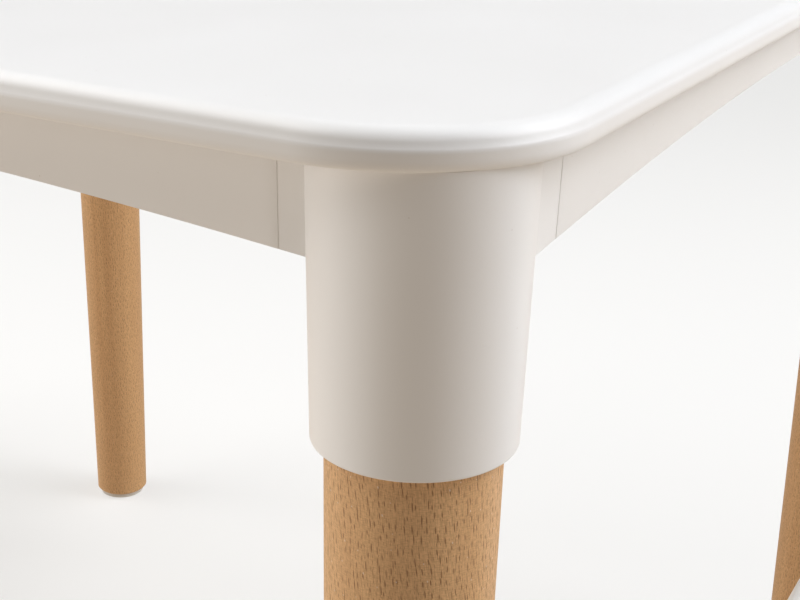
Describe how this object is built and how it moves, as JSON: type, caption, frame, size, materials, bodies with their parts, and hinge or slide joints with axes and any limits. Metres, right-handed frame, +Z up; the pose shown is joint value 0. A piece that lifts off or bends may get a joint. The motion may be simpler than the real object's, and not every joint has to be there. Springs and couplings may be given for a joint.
{
  "type": "kids table and chairs",
  "caption": "Low square table with a rounded moulded top, arched aprons and round beech legs in corner sockets, with matching small chairs at its sides.",
  "frame": {"origin": "on the floor, under the middle of the table top", "axes": "+Z up; +X and -X towards the two chairs; -Y towards the front apron"},
  "size_m": [1.3238, 0.6, 0.5416],
  "materials": {
    "white_plastic": "satin moulded white plastic",
    "beech": "steamed beech, clear satin lacquer",
    "zinc_steel": "bright zinc plate",
    "brass": "turned",
    "glide_plastic": "matt moulded"
  },
  "bodies": {
    "table": {"apron_back": "white_plastic", "apron_front": "white_plastic", "apron_left": "white_plastic", "apron_right": "white_plastic", "apron_screws": "zinc_steel", "table_glide_back_left": "glide_plastic", "table_glide_back_right": "glide_plastic", "table_glide_front_left": "glide_plastic", "table_glide_front_right": "glide_plastic", "table_glide_nails": "zinc_steel", "table_hanger_bolts": "zinc_steel", "table_inserts": "brass", "table_leg_back_left": "beech", "table_leg_back_right": "beech", "table_leg_front_left": "beech", "table_leg_front_right": "beech", "table_socket_back_left": "white_plastic", "table_socket_back_right": "white_plastic", "table_socket_front_left": "white_plastic", "table_socket_front_right": "white_plastic", "table_socket_screws": "zinc_steel", "table_top": "white_plastic"},
    "left_chair": {"left_chair_glide_back_left": "glide_plastic", "left_chair_glide_back_right": "glide_plastic", "left_chair_glide_front_left": "glide_plastic", "left_chair_glide_front_right": "glide_plastic", "left_chair_glide_nails": "zinc_steel", "left_chair_hanger_bolts": "zinc_steel", "left_chair_inserts": "brass", "left_chair_leg_back_left": "beech", "left_chair_leg_back_right": "beech", "left_chair_leg_front_left": "beech", "left_chair_leg_front_right": "beech", "left_chair_seat_shell": "white_plastic", "left_chair_socket_back_left": "white_plastic", "left_chair_socket_back_right": "white_plastic", "left_chair_socket_front_left": "white_plastic", "left_chair_socket_front_right": "white_plastic", "left_chair_socket_screws": "zinc_steel"},
    "right_chair": {"right_chair_glide_back_left": "glide_plastic", "right_chair_glide_back_right": "glide_plastic", "right_chair_glide_front_left": "glide_plastic", "right_chair_glide_front_right": "glide_plastic", "right_chair_glide_nails": "zinc_steel", "right_chair_hanger_bolts": "zinc_steel", "right_chair_inserts": "brass", "right_chair_leg_back_left": "beech", "right_chair_leg_back_right": "beech", "right_chair_leg_front_left": "beech", "right_chair_leg_front_right": "beech", "right_chair_seat_shell": "white_plastic", "right_chair_socket_back_left": "white_plastic", "right_chair_socket_back_right": "white_plastic", "right_chair_socket_front_left": "white_plastic", "right_chair_socket_front_right": "white_plastic", "right_chair_socket_screws": "zinc_steel"}
  },
  "joints": [
    {"name": "right_chair_pull", "type": "slide", "parent": "table", "child": "right_chair", "axis": [1, 0, 0], "range_m": [-0.28, 0.3]},
    {"name": "left_chair_pull", "type": "slide", "parent": "table", "child": "left_chair", "axis": [-1, 0, 0], "range_m": [-0.28, 0.3]}
  ]
}
